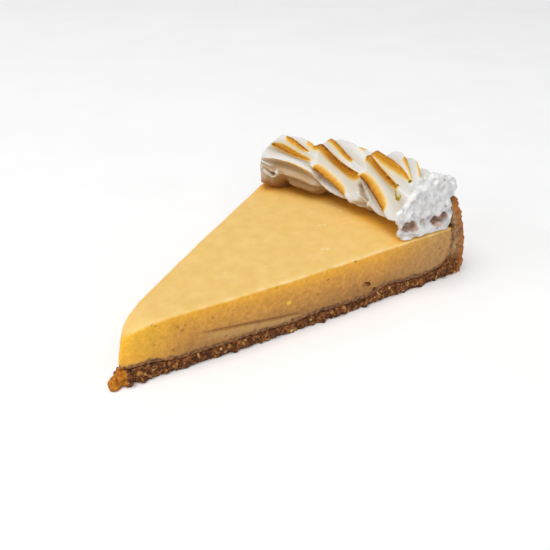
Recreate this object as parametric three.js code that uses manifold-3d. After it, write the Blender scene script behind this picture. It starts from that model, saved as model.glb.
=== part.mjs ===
// A slice of lemon meringue pie, cut from a round tart: a crumb crust with a standing outer
// wall, a lemon custard filling, and a rope of piped meringue along the wall.
//
// Millimetres, +Z up. The slice stands on z = 0 with its pointed end towards -Y and its crust
// wall towards +Y. The origin is under the middle of its bounding box. Places are worked out
// in the tart's own polar frame: r is the distance from the tart's centre, and the slice
// spans the angles from -HALF_ANGLE to +HALF_ANGLE about the +Y direction. side is -1 for the
// cut face towards -X and 1 for the one towards +X.

import * as THREE from "three";
import { ImprovedNoise } from "three/addons/math/ImprovedNoise.js";
import { mergeVertices } from "three/addons/utils/BufferGeometryUtils.js";
import Module from "manifold-3d";

const wasm = await Module();
wasm.setup();

const { clamp, degToRad, lerp, seededRandom, smoothstep } = THREE.MathUtils;

// ---- Driving dimensions ----

const TART_RADIUS = 141; // outer face of the crust at the table
const HALF_ANGLE = degToRad(37) / 2;
const TART_CENTRE_Y = -69.8; // puts the origin under the middle of the bounding box
const GAP = 0.3; // clearance between touching pieces
const CUT_BOW = { "-1": 1, 1: 2.2 }; // how far each cut face swells past a straight cut
const BOW_SKEW = 0.65; // below 1 the cut faces swell most nearer to the pointed end

// The line between crust and filling: heights at distances from the tart's centre.
const LINE_HEIGHTS = [
  [0, 5.2], [8, 5.5], [13, 5.4], [18, 4.4], [25, 3.8], [30, 4.1], [36, 3.7], [44, 4.1], [52, 3.9],
  [62, 3.4], [75, 4.1], [88, 3.1], [96, 3.2], [104, 5.6], [113, 4.3], [122, 3.9], [134, 5.8],
];
const ACROSS_STEPS = 8; // of base and filling alike, so that their shared line fits
const EDGE_STEP = 0.02; // width of the outermost of those steps

const BASE_END_R = 138; // the base runs in under the wall up to here
const CRUST_TIP_R = 3; // where the crust's pointed end is squared off
const CRUST_PROUD = 0.7; // how far the crust's cut faces stand out past the filling's
const CRUMB_RELIEF = 0.8; // roughness of the crust's cut faces
const WALL_RELIEF = 0.45; // roughness of the wall's outside and top
const CRUMB_SIZE = 3.1; // length of the crumb pattern
const CRUMBS_PER_FACE = 17; // crumbs fused to each cut face
const CRUMB_RADIUS = { least: 1.1, most: 2.2 };

const WALL_HEIGHT = 33;
const WALL_TOP_CLEARANCE = 1.1; // room for the crumbs on the wall's top

const FILLING_TOP = 20.8;
const FILLING_TIP_R = 2.6; // foot of the filling's pointed end
const FILLING_TIP_LEAN = 3.4; // how far the pointed end leans back towards its top
const FILLING_TIP_DROP = 2.6; // how far the top falls away at the pointed end
const FILLING_TIP_REACH = 9;
const FILLING_NOSE = 1.6; // rounding of the pointed end in plan
const FILLING_EDGE = 0.6; // rounding of the top's cut edges

const ROPE_R = 122; // middle of the meringue rope
const ROPE_END = HALF_ANGLE * ROPE_R; // distance along the rope from its middle to a cut
const LOBE_PITCH = 23.5; // from one piped lobe to the next, along the rope
const LOBE_PHASE = -13.5; // where lobe 0 starts, along the rope
const LOBE_RADIUS = 13.2; // to the ridges' crests
const LOBE_SIZES = { "-2": 0.8, "-1": 0.88, 0: 0.95, 1: 1 }; // the rope was piped thinner towards -X
const LAST_LOBE = 1;
const THIN_SHIFT = 20; // how far a lobe of no size would lie off the rope's middle
const HOVER = 4.2; // how high the undersides of lobes 0 and 1 hang above the filling
const TAIL_HOVER = 0.7; // how much higher the last lobe's tail hangs, as a share of that
const RIDGE_DEPTH = 3.6;
const CORE_RADIUS = 7.5; // of the plain middle that the lobes lie on
const CORE_SHIFT = 2.5; // how far the core lies behind the rope's middle
const CORE_HEIGHT = 7;

const LUMP_SHIFT = 1.4; // how far the torn lump's widest place lies past the rope's end
const LUMP_OUT = 7; // how far the lump reaches from there towards +X
const LUMP_IN = 13; // and along the rope, into the slice
const LUMP_LEAN = { n: -0.3, h: -0.45 }; // how its middle moves for each millimetre that way
const TORN_RELIEF = { "-1": 0.4, 1: 0.9 }; // roughness of each cut end
const TORN_SIZE = 3.4; // length of the torn pattern

// ---- Frames and helpers ----

const polar = (r, angle, z) =>
  new THREE.Vector3(r * Math.sin(angle), TART_CENTRE_Y + r * Math.cos(angle), z);

// A point beside the rope's middle line: s along it, n towards the slice's pointed end and
// h above the filling.
const besideRope = (s, n, h) => polar(ROPE_R - n, s / ROPE_R, FILLING_TOP + h);

// The level direction that points out of the slice, square to a cut face.
const outOfCut = (side) =>
  new THREE.Vector3(side * Math.cos(HALF_ANGLE), -Math.sin(HALF_ANGLE), 0);

// How far a cut face lies outside a straight cut, at a distance from the tart's centre.
const bowAt = (side, r) =>
  CUT_BOW[side] * Math.sin(Math.PI * Math.min(1, r / TART_RADIUS) ** BOW_SKEW);

// The height of the line between crust and filling.
function crustLine(r) {
  const next = LINE_HEIGHTS.findIndex(([distance]) => distance > r);
  if (next < 0) return LINE_HEIGHTS.at(-1)[1];
  const [[r0, z0], [r1, z1]] = LINE_HEIGHTS.slice(next - 1);
  return lerp(z0, z1, (r - r0) / (r1 - r0));
}

const steps = (count, from = 0, to = 1) =>
  Array.from({ length: count + 1 }, (_, i) => lerp(from, to, i / count));

// Even steps with a narrow one at each end, so that a bevel or relief there stays narrow.
const edgedSteps = (count, edge) => [0, ...steps(count - 2, edge, 1 - edge), 1];

// Distances from the tart's centre, no more than spacing apart, with one at each bend of the
// line between crust and filling.
function rows(from, to, spacing) {
  const bends = LINE_HEIGHTS.map(([r]) => r).filter((r) => r > from && r < to);
  const found = [from];
  for (const end of [...bends, to]) {
    const start = found.at(-1);
    found.push(...steps(Math.ceil((end - start) / spacing), start, end).slice(1));
  }
  return found;
}

const noise = new ImprovedNoise();
const noiseAt = (p, scale, shift = 0) =>
  noise.noise(p.x * scale + shift, p.y * scale, p.z * scale);

// Roughness from a coarse and a fine pattern, roughly from -1 to 1.
const rough = (p, size) => 1.3 * noiseAt(p, 1 / size) + 0.6 * noiseAt(p, 2.4 / size, 40);

// The closed surface of a block bent by place(u, v, w), on the given steps of u, v and w.
function bentBlock(us, vs, ws, place) {
  const axes = [us, vs, ws];
  const positions = [];
  const index = [];
  for (let axis = 0; axis < 3; axis++) {
    const across = (axis + 1) % 3;
    const along = (axis + 2) % 3;
    const columns = axes[along].length;
    for (const end of [0, 1]) {
      const first = positions.length / 3;
      for (const a of axes[across])
        for (const b of axes[along]) {
          const uvw = [0, 0, 0];
          uvw[axis] = end;
          uvw[across] = a;
          uvw[along] = b;
          positions.push(...place(...uvw).toArray());
        }
      for (let i = 0; i < axes[across].length - 1; i++)
        for (let j = 0; j < columns - 1; j++) {
          const p = first + i * columns + j;
          const q = p + columns;
          if (end) index.push(p, q, q + 1, p, q + 1, p + 1);
          else index.push(p, q + 1, q, p, p + 1, q + 1);
        }
    }
  }
  return closed(positions, index);
}

// The closed surface of place(t, turn), where t runs from pole to pole and turn goes once
// round from 0 to 1.
function bentBall(rings, around, place) {
  const positions = [];
  const index = [];
  for (let ring = 0; ring <= rings; ring++)
    for (let i = 0; i < around; i++) positions.push(...place(ring / rings, i / around).toArray());
  for (let ring = 0; ring < rings; ring++)
    for (let i = 0; i < around; i++) {
      const p = ring * around + i;
      const beside = ring * around + ((i + 1) % around);
      if (ring > 0) index.push(p, beside, beside + around);
      if (ring < rings - 1) index.push(p, beside + around, p + around);
    }
  return closed(positions, index);
}

// A solid from the points and triangles of a closed surface, whichever way round they go.
function closed(positions, index) {
  const geometry = new THREE.BufferGeometry();
  geometry.setAttribute("position", new THREE.Float32BufferAttribute(positions, 3));
  geometry.setIndex(index);
  const merged = mergeVertices(geometry, 1e-4);
  const triVerts = new Uint32Array(merged.index.array);
  const vertProperties = merged.attributes.position.array;
  const solidOf = () => new wasm.Manifold(new wasm.Mesh({ numProp: 3, vertProperties, triVerts }));
  const solid = solidOf();
  if (solid.volume() > 0) return solid;
  for (let i = 0; i < triVerts.length; i += 3)
    [triVerts[i + 1], triVerts[i + 2]] = [triVerts[i + 2], triVerts[i + 1]];
  return solidOf();
}

// A point on the unit sphere, with the poles on X.
const spherePoint = (t, turn) =>
  new THREE.Vector3(1, 0, 0)
    .applyAxisAngle(new THREE.Vector3(0, 0, 1), Math.PI * t)
    .applyAxisAngle(new THREE.Vector3(1, 0, 0), 2 * Math.PI * turn);

// A plain curve through points of two or three coordinates.
const curveThrough = (points, loop = false) =>
  new THREE.CatmullRomCurve3(
    points.map((point) => new THREE.Vector3(...point)),
    loop,
    "catmullrom",
  );

function toMesh(name, solid, material) {
  const { vertProperties, triVerts } = solid.getMesh();
  const geometry = new THREE.BufferGeometry();
  geometry.setAttribute("position", new THREE.BufferAttribute(vertProperties, 3));
  geometry.setIndex(new THREE.BufferAttribute(triVerts, 1));
  geometry.computeVertexNormals();
  const mesh = new THREE.Mesh(geometry, material);
  mesh.name = name;
  return mesh;
}

// The largest connected piece: scraps that cutting leaves loose are dropped.
const largest = (solid) => solid.decompose().reduce((a, b) => (a.volume() > b.volume() ? a : b));

// ---- Crust ----

// The wall's section: matching points up its outer and inner faces, as distance from
// TART_RADIUS and height. The inner face leaves the base in a fillet, and both faces lean in
// towards the top.
const outerFace = curveThrough([
  [0, 0],
  [0.4, 4],
  [0.2, 7],
  [-0.1, 11],
  [-0.8, 17],
  [-2.6, 23],
  [-4.9, 28.5],
  [-6.4, WALL_HEIGHT],
]);
const innerFace = curveThrough([
  [-11, 0],
  [-11, 4.6],
  [-8.8, 6.4],
  [-6.4, 9.5],
  [-5.6, 15],
  [-6.2, 21],
  [-7.8, 27],
  [-10, WALL_HEIGHT],
]);

function base() {
  const distances = rows(CRUST_TIP_R, BASE_END_R, 3);
  const last = distances.length - 1;
  const columns = edgedSteps(ACROSS_STEPS, EDGE_STEP);
  return bentBlock(steps(last), columns, steps(3), (along, across, up) => {
    const r = distances[Math.round(along * last)];
    const p = polar(r, HALF_ANGLE * (2 * across - 1), (crustLine(r) - GAP / 2) * up);
    if (across > 0 && across < 1) return p;
    const side = across ? 1 : -1;
    const out = bowAt(side, r) + CRUST_PROUD + CRUMB_RELIEF * rough(p, CRUMB_SIZE);
    return p.addScaledVector(outOfCut(side), out);
  });
}

function wall() {
  return bentBlock(edgedSteps(22, EDGE_STEP), steps(11), steps(2), (across, up, through) => {
    const { x, y } = outerFace.getPoint(up).lerp(innerFace.getPoint(up), through);
    const angle = HALF_ANGLE * (2 * across - 1);
    const p = polar(TART_RADIUS + x, angle, y);
    const relief = rough(p, CRUMB_SIZE);
    if (across === 0 || across === 1)
      p.addScaledVector(outOfCut(across ? 1 : -1), CRUST_PROUD + CRUMB_RELIEF * relief);
    else if (through === 0 && up > 0) {
      p.x += WALL_RELIEF * relief * Math.sin(angle);
      p.y += WALL_RELIEF * relief * Math.cos(angle);
    }
    if (up === 1) p.z += WALL_RELIEF * relief;
    return p;
  });
}

// The room that the wall takes up, with a clearance round it.
function wallRoom() {
  return bentBlock(steps(22), steps(11), steps(1), (across, up, through) => {
    const { x, y } = through ? innerFace.getPoint(up) : outerFace.getPoint(up);
    const rise = up === 1 ? WALL_TOP_CLEARANCE : 0;
    const clearance = through ? -GAP - rise / 2 : 10;
    return polar(TART_RADIUS + x + clearance, 1.3 * HALF_ANGLE * (2 * across - 1), y + rise);
  });
}

// A lumpy crumb.
function crumb(radius, centre, detail) {
  const random = (low, high) => lerp(low, high, seededRandom());
  const turn = new THREE.Euler(random(0, 6), random(0, 6), 0);
  const stretch = new THREE.Vector3(random(0.8, 1.3), random(0.8, 1.3), random(0.6, 0.9));
  const { position } = new THREE.IcosahedronGeometry(1, detail).attributes;
  const positions = [];
  for (let i = 0; i < position.count; i++) {
    const p = new THREE.Vector3().fromBufferAttribute(position, i);
    const lumpy = radius * (1 + 0.7 * noiseAt(p, 1.7, centre.y));
    positions.push(...p.multiplyScalar(lumpy).multiply(stretch).applyEuler(turn).add(centre));
  }
  return closed(positions, [...Array(position.count).keys()]);
}

// Crumbs fused to the cut faces.
function crumbs() {
  seededRandom(7);
  const random = (low, high) => lerp(low, high, seededRandom());
  return [-1, 1].flatMap((side) =>
    steps(CRUMBS_PER_FACE - 1).map((share) => {
      const radius = random(CRUMB_RADIUS.least, CRUMB_RADIUS.most);
      const r = lerp(8, TART_RADIUS - 5, share) + random(-2, 2);
      const z = random(0.4, crustLine(r) - GAP - radius * 0.9);
      const out = bowAt(side, r) + CRUST_PROUD - random(0.1, 0.6) * radius;
      return crumb(radius, polar(r, side * HALF_ANGLE, z).addScaledVector(outOfCut(side), out), 0);
    }),
  );
}

// The lumps that the crust's pointed end crumbles into: x, distance from the tart's centre and
// radius.
const TIP_LUMPS = [
  [0, 0.6, 2.7],
  [2.2, 4, 2.3],
  [-2, 4.4, 2.2],
  [3.8, 8.2, 1.9],
];
const tipLumps = () =>
  TIP_LUMPS.map(([x, r, radius]) => crumb(radius, polar(r, 0, radius * 0.8).setX(x), 1));

function crust() {
  const pressed = wasm.Manifold.union([base(), wall(), ...crumbs(), ...tipLumps()]);
  return largest(pressed.trimByPlane([0, 0, 1], 0));
}

// ---- Filling ----

function filling() {
  const distances = [FILLING_TIP_R, 4.2, 6, ...rows(8, BASE_END_R, 8)];
  const last = distances.length - 1;
  const columns = edgedSteps(ACROSS_STEPS, EDGE_STEP);
  const block = bentBlock(steps(last), columns, [0, 0.35, 0.7, 0.94, 1], (share, across, up) => {
    const distance = distances[Math.round(share * last)];
    const along = (distance - FILLING_TIP_R) / (BASE_END_R - FILLING_TIP_R);
    const start = FILLING_TIP_R + FILLING_TIP_LEAN * up ** 2;
    const offMiddle = 2 * across - 1;
    const r = lerp(start, BASE_END_R, along);
    const fade = Math.exp(-(r - start) / FILLING_TIP_REACH);
    const p = polar(r + FILLING_NOSE * offMiddle ** 2 * fade, HALF_ANGLE * offMiddle, 0);
    p.z = lerp(crustLine(distance) + GAP / 2, FILLING_TOP - FILLING_TIP_DROP * fade ** 2, up);
    if (across > 0 && across < 1) return p;
    const bevel = up === 1 ? FILLING_EDGE : 0;
    p.z -= bevel / 2;
    return p.addScaledVector(outOfCut(offMiddle), bowAt(offMiddle, r) - bevel);
  });
  return block.subtract(wallRoom());
}

// ---- Meringue ----

// Where a lobe's middle runs: distance along the rope from the lobe's start, distance towards
// the slice's pointed end and height above the filling.
const lobePath = curveThrough([
  [-6, -1, 8],
  [0, -1.6, 10.3],
  [8, -1, 11],
  [17, 0.5, 10.2],
  [25, 2.6, 8.4],
  [31, 4, 6.5],
]);

// The crests that the star nozzle left on each lobe, from the front over the top: their angles
// in degrees from level towards the slice's pointed end, at four places along the lobe. Lobe -2
// is like lobe 1.
const CREST_PLACES = [0.1, 0.3, 0.5, 0.75];
const CRESTS = {
  "-1": [
    [25, 26, 30, 36],
    [88, 68, 57, 78],
    [130, 108, 83, 94],
    [150, 132, 113, 108],
  ],
  0: [
    [22, 0, -17, -18],
    [34, 16, 5, -16],
    [98, 66, 50, 62],
    [130, 94, 70, 80],
    [155, 119, 104, 96],
  ],
  1: [
    [35, 24, 11, -8],
    [95, 63, 50, 53],
    [110, 81, 76, 74],
    [150, 125, 96, 79],
    [170, 148, 118, 92],
  ],
};
const LOWER_CRESTS = 3; // put in below the listed ones
const LOWER_SPACING = 32; // degrees, also the spacing at which a valley has its full depth
const BACK_CRESTS = 5; // spread evenly over the rest of the way round
const LEAST_SPACING = 3;
const POINTS_PER_CREST = 4;

// The value at t of the cubic curve through four values at CREST_PLACES.
const cubicThrough = (values, t) =>
  CREST_PLACES.reduce((sum, place, i) => {
    const others = CREST_PLACES.filter((other) => other !== place);
    return sum + others.reduce((share, other) => (share * (t - other)) / (place - other), values[i]);
  }, 0);

// The crests' angles round a lobe at a share t of its length, in rising order and degrees. The
// last one is the first again, after a full turn.
function crestAngles(number, t) {
  const share = clamp(t, 0.04, 0.85);
  const listed = (CRESTS[number] ?? CRESTS[LAST_LOBE]).map((crest) => cubicThrough(crest, share));
  const lower = steps(LOWER_CRESTS, listed[0] - LOWER_CRESTS * LOWER_SPACING, listed[0]);
  const angles = [...lower, ...listed.slice(1)];
  for (let i = 1; i < angles.length; i++) angles[i] = Math.max(angles[i], angles[i - 1] + LEAST_SPACING);
  return [...angles, ...steps(BACK_CRESTS + 1, angles.at(-1), angles[0] + 360).slice(1)];
}

// How thick a lobe is along its path: it swells quickly, then thins into a tail. The last one,
// which the knife cut through, stays thick.
function lobeRadius(number, t) {
  const [thinning, end] = number === LAST_LOBE ? [0.2, 0.04] : [0.42, 0.12];
  const swell = Math.min(1, Math.sqrt(t / 0.26));
  const thin = 1 - thinning * smoothstep(t, 0.45, 1);
  return LOBE_RADIUS * swell * thin * Math.sqrt(Math.min(1, (1 - t) / end));
}

// How deep in a valley a place lies, from 0 on a crest to 1. Over the top the crests lean away
// from the slice's pointed end, and low down towards it. u runs from 0 to 1 between two crests,
// from and to are their angles in degrees.
function valleyDepth(u, from, to) {
  const lowest = lerp(0.6, 0.36, smoothstep(degToRad((from + to) / 2), 0.3, 1.4));
  const bent = u < lowest ? (0.5 * u) / lowest : 0.5 + (0.5 * (u - lowest)) / (1 - lowest);
  const full = Math.min(1, (to - from) / LOWER_SPACING) ** 0.7;
  return Math.sin(Math.PI * bent) ** 1.15 * full;
}

// Lifts a height that comes near a low limit, so that it doesn't fall below it.
function keptAbove(height, low) {
  const blend = 1.5;
  if (height > low + blend) return height;
  const lifted = low + blend * Math.exp((height - low - blend) / blend);
  return lerp(height, lifted, Math.min(low, 1));
}

function lobe(number) {
  const size = LOBE_SIZES[number];
  const around = (crestAngles(number, 0).length - 1) * POINTS_PER_CREST;
  const up = new THREE.Vector3(0, 0, 1);
  return bentBall(16, around, (t, turn) => {
    const crests = crestAngles(number, t);
    const column = Math.round(turn * around);
    const crest = Math.floor(column / POINTS_PER_CREST);
    const u = (column % POINTS_PER_CREST) / POINTS_PER_CREST;
    const [from, to] = crests.slice(crest);
    const angle = degToRad(lerp(from, to, u));
    const smooth = smoothstep(-Math.sin(angle), 0.25, 0.8);
    const full = lobeRadius(number, t);
    const valley = lerp(valleyDepth(u, from, to), 0.35, smooth);
    const radius = size * (full - RIDGE_DEPTH * (full / LOBE_RADIUS) ** 2 * valley);
    const ahead = lobePath.getTangent(t);
    const side = new THREE.Vector3().crossVectors(up, ahead).normalize();
    const over = new THREE.Vector3().crossVectors(ahead, side);
    const p = lobePath
      .getPoint(t)
      .addScaledVector(side, radius * Math.cos(angle))
      .addScaledVector(over, radius * Math.sin(angle));
    const tailRise = number === LAST_LOBE ? TAIL_HOVER * smoothstep(t, 0.6, 0.95) : 0;
    const rise = number < 0 ? 0 : smoothstep(t, 0.25, 0.5) + tailRise;
    const hover = HOVER * rise * smoothstep(p.y, -2, 3);
    const height = keptAbove(p.z * size, hover);
    return besideRope(LOBE_PHASE + LOBE_PITCH * number + p.x, p.y + (1 - size) * THIN_SHIFT, height);
  });
}

function core() {
  return bentBlock(steps(12), steps(3), steps(3), (along, across, up) => {
    const turn = 2 * across - 1;
    const lift = 2 * up - 1;
    const reach = CORE_RADIUS / Math.max(1, Math.hypot(turn, lift));
    const s = lerp(-1.1, 1.1, along) * ROPE_END;
    return besideRope(s, turn * reach - CORE_SHIFT, CORE_HEIGHT + lift * reach);
  });
}

// Soft bellies under the lobes' front, where the first meringue was pressed out: their middles
// beside the rope and their half sizes.
const BELLIES = [
  { middle: [-31.5, 4.4, 6.2], half: [8.4, 7.8, 6.8] },
  { middle: [-17.5, 0.8, 6.6], half: [8.6, 8.6, 7.2] },
];

function belly({ middle, half }) {
  return bentBall(8, 14, (t, turn) => {
    const p = spherePoint(t, turn).multiply(new THREE.Vector3(...half)).add(new THREE.Vector3(...middle));
    return besideRope(p.x, p.y, p.z);
  });
}

// The torn end's outline on the +X cut, as distance towards the slice's pointed end and height
// above the filling, and the middle of the lump behind it.
const tornOutline = curveThrough(
  [
    [11.6, -1],
    [12.2, 4],
    [13.8, 8.6],
    [13.4, 12.6],
    [11.4, 16.2],
    [8.2, 20.0],
    [4.6, 22.4],
    [0.6, 23.0],
    [-6.0, 22.2],
    [-10.8, 20.4],
    [-13.2, 17.4],
    [-13.4, 13.4],
    [-12.8, 8],
    [-12.4, 2],
    [-10, -3],
    [2, -3],
  ],
  true,
);
const tornMiddle = new THREE.Vector3(2.4, 10.5, 0);

// The lump that the knife dragged up at the +X cut.
function lump() {
  return bentBall(12, 32, (t, turn) => {
    const out = Math.cos(Math.PI * t) * (t < 0.5 ? LUMP_OUT : LUMP_IN);
    const ring = Math.sin(Math.PI * t) * (1 + 0.05 * rough(spherePoint(t, turn), 0.7));
    const { x, y } = tornMiddle.clone().lerp(tornOutline.getPoint(turn), ring);
    const into = Math.max(0, -out);
    const s = ROPE_END + LUMP_SHIFT + out;
    return besideRope(s, x + LUMP_LEAN.n * into, y + LUMP_LEAN.h * into);
  });
}

// The strand that runs down at the front of the torn end: along the rope from its end, towards
// the pointed end, and height.
const strandPath = curveThrough([
  [-1.6, 11.4, 12],
  [-0.2, 12.9, 9.5],
  [0.3, 13.4, 6.2],
  [0.2, 13.2, 3.2],
  [0.1, 13, 0.2],
]);
const STRAND_RADIUS = 1.7;

function strand() {
  return bentBall(8, 8, (t, turn) => {
    const { x, y, z } = strandPath.getPoint(t);
    const radius = STRAND_RADIUS * (4 * t * (1 - t)) ** 0.3;
    const angle = 2 * Math.PI * turn;
    return besideRope(ROPE_END + x + radius * Math.cos(angle), y + radius * Math.sin(angle), z);
  });
}

// Hollows that the knife opened low in the +X cut: distance towards the pointed end, height
// above the filling, half sizes and depth.
const HOLLOWS = [
  { n: 8.3, h: 5.4, halfWidth: 2.7, halfHeight: 2.3, depth: 4 },
  { n: -5, h: 5, halfWidth: 3.7, halfHeight: 2.4, depth: 3.4 },
];

function hollowDepth(n, h) {
  const depths = HOLLOWS.map((at) => {
    const q = ((n - at.n) / at.halfWidth) ** 2 + ((h - at.h) / at.halfHeight) ** 2;
    return at.depth * Math.exp(-(q ** 2));
  });
  return Math.max(...depths);
}

// The knife: a block outside a cut whose near face holds the roughness that it leaves.
function knife(side) {
  return bentBlock([0, 1], steps(20), steps(17), (away, across, up) => {
    const n = lerp(-20, 20, across);
    const h = lerp(-2, 32, up);
    const p = polar(ROPE_R - n, side * HALF_ANGLE, FILLING_TOP + h);
    if (away === 1) return p.addScaledVector(outOfCut(side), 30);
    const relief = TORN_RELIEF[side] * (0.4 + rough(p, TORN_SIZE));
    const hollow = side > 0 ? hollowDepth(n, h) : 0;
    return p.addScaledVector(outOfCut(side), bowAt(side, ROPE_R) - relief - hollow);
  });
}

function meringue() {
  const lobes = Object.keys(LOBE_SIZES).map((number) => lobe(Number(number)));
  const rope = wasm.Manifold.union([core(), lump(), strand(), ...BELLIES.map(belly), ...lobes]);
  const bedded = rope.subtract(wallRoom()).trimByPlane([0, 0, 1], FILLING_TOP + GAP);
  return largest(bedded.subtract(knife(-1)).subtract(knife(1)));
}

// ---- The slice ----

const matte = (color, roughness) => new THREE.MeshStandardMaterial({ color, roughness, metalness: 0 });

const slice = new THREE.Group();
slice.add(
  toMesh("crust", crust(), matte(0x8a5526, 0.85)),
  toMesh("lemon_filling", filling(), matte(0xeebf5c, 0.5)),
  toMesh("meringue", meringue(), matte(0xf3ece0, 0.6)),
);

export default slice;
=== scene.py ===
"""The looks of a slice of lemon meringue tart: its crumb crust, lemon filling and piped meringue.

The pieces are made in millimetres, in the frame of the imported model, and scaled to metres at the
end. Places are worked out in the tart's own polar frame: r is the distance from the tart's centre,
and the slice spans the angles from -HALF_ANGLE to +HALF_ANGLE about the +Y direction. side is -1
for the cut face towards -X and 1 for the one towards +X. On the meringue rope, s is the distance
along it from its middle, n the distance towards the slice's pointed end and h the height above the
filling.
"""

import math
from contextlib import contextmanager

import bmesh
import bpy
import numpy as np
from mathutils import Matrix, Vector, kdtree, noise


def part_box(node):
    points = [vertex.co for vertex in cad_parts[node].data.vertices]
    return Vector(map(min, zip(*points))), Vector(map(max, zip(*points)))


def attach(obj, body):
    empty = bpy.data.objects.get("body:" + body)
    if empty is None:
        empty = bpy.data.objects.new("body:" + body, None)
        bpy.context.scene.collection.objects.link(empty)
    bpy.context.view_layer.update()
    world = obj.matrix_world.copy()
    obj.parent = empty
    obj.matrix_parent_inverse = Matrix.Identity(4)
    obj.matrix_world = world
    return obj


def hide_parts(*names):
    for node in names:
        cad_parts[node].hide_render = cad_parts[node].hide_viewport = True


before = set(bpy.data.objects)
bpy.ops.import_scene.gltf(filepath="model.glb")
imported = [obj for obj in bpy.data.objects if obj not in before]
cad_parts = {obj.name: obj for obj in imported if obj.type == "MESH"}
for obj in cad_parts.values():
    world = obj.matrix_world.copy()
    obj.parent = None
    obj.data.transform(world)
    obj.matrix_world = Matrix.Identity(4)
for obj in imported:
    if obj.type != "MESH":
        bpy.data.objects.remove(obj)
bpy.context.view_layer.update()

MM = 0.001

# ---- Driving dimensions, as in the solids ----

FILLING_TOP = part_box("lemon_filling")[1].z / MM
TART_RADIUS = 141  # outer face of the crust at the table
HALF_ANGLE = math.radians(37) / 2
TART_CENTRE_Y = -69.8  # the tart's centre, from the middle of the slice's box
GAP = 0.3  # clearance between touching pieces
CUT_BOW = {-1: 1.0, 1: 2.2}  # how far each cut face swells past a straight cut
BOW_SHAPE = 0.65  # below 1 the swelling is fullest in the half by the pointed end
CUT_SIDES = ((-1, 0), (1, 1))  # each cut face's side, and where it lies across a bent block

BASE_THICKNESS = 4.6
BASE_END_R = 138
CRUST_TIP_R = 3
CRUST_PROUD = 0.5  # how far the crust's cut faces stand out past the filling's
WALL_HEIGHT = 33

FILLING_TIP_R = 2.6
FILLING_TIP_LEAN = 3.4  # how far the pointed end leans back from its foot to its top
FILLING_TIP_DROP = 2.6  # how much lower the top is there
FILLING_NOSE = 1.6  # how far the pointed end's corners lie behind its middle
FILLING_TIP_REACH = 9  # how far from the pointed end the drop and the nose reach
FILLING_EDGE = 0.9  # rounding of the top's cut edges

ROPE_R = 122  # middle of the meringue rope
ROPE_END = HALF_ANGLE * ROPE_R  # where the +X cut is along the rope
LOBE_PITCH = 23.5
LOBE_PHASE = -13.5  # where lobe 0 has its place along the rope
LOBE_RADIUS = 13.2
LOBE_SIZES = {-2: 0.8, -1: 0.88, 0: 0.95, 1: 1}  # the lobes' sizes by their numbers
FIRST_LOBE = min(LOBE_SIZES)
LAST_LOBE = max(LOBE_SIZES)
FIRST_HANGING_LOBE = 0
THIN_SHIFT = 20  # how much nearer the pointed end a lobe lies for each unit of size it lacks
HOVER = 4.2  # how high the hanging lobes' undersides are above the filling
TAIL_HOVER = 0.7  # how much higher the last lobe's tail hangs, as a share of that
ROPE_CORE_RADIUS = 7.5

# ---- Helpers ----


def lerp(a, b, t):
    """The value at a share t of the way from a to b."""
    return a + (b - a) * t


def even(count):
    """Even steps from 0 to 1."""
    return np.linspace(0, 1, count)


def smoothstep(low, high, value):
    """0 at low and 1 at high, which may be the lower one, and smooth between them."""
    t = np.clip((value - low) / (high - low), 0, 1)
    return t * t * (3 - 2 * t)


def bell(value, middle, width):
    """1 at the middle, and fading on both sides of it."""
    return np.exp(-(((value - middle) / width) ** 2))


def polar(r, angle, z):
    """Points at distances from the tart's centre, angles and heights."""
    r, angle, z = np.broadcast_arrays(r, angle, z)
    return np.stack([r * np.sin(angle), TART_CENTRE_Y + r * np.cos(angle), z], -1)


def radius_of(points):
    """Distance from the tart's centre."""
    return np.hypot(points[:, 0], points[:, 1] - TART_CENTRE_Y)


def beside_rope(s, n, h):
    """Points at places on the rope."""
    return polar(ROPE_R - n, s / ROPE_R, FILLING_TOP + h)


def rope_places(points):
    """Points as places on the rope: s, n and h."""
    angle = np.arctan2(points[:, 0], points[:, 1] - TART_CENTRE_Y)
    return np.stack([angle * ROPE_R, ROPE_R - radius_of(points), points[:, 2] - FILLING_TOP], -1)


def out_of_cut(side):
    """The level direction that points out of the slice, square to a cut face."""
    return np.array([side * math.cos(HALF_ANGLE), -math.sin(HALF_ANGLE), 0])


def on_cut(side, r, z, out):
    """Points that lie a distance out of a straight cut."""
    return polar(r, side * HALF_ANGLE, z) + np.multiply.outer(out, out_of_cut(side))


def bow_at(side, r):
    """How far a cut face lies outside a straight cut, at a distance from the tart's centre."""
    return CUT_BOW[side] * np.sin(np.pi * np.clip(r / TART_RADIUS, 0, 1) ** BOW_SHAPE)


def outside_cut(side, points):
    """How far points lie outside a cut face, below 0 inside the slice."""
    from_centre = points - np.array([0, TART_CENTRE_Y, 0])
    return from_centre @ out_of_cut(side) - bow_at(side, radius_of(points))


def smooth_path(points, t):
    """Points of a Catmull-Rom curve through the given points, at shares t from 0 to 1."""
    points = np.array(points, float)
    ends = np.vstack([2 * points[0] - points[1], points, 2 * points[-1] - points[-2]])
    place = np.clip(np.asarray(t, float), 0, 1) * (len(points) - 1)
    index = np.minimum(place.astype(int), len(points) - 2)
    f = (place - index)[..., None]
    a, b, c, d = (ends[index + i] for i in range(4))
    return 0.5 * (2 * b + (c - a) * f + (2 * a - 5 * b + 4 * c - d) * f**2 + (3 * b - a - 3 * c + d) * f**3)


def pattern(points, size, seed=0):
    """Smooth noise, from about -1 to 1, whose features have the given size."""
    scaled = points / np.asarray(size, float) + np.array([17.3, 5.1, 9.7]) * seed
    return np.array([noise.noise(Vector(p)) for p in scaled.tolist()])


def layered(points, *layers):
    """The sum of patterns, each given as its amount, size and seed."""
    return sum(amount * pattern(points, size, seed) for amount, size, seed in layers)


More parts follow.
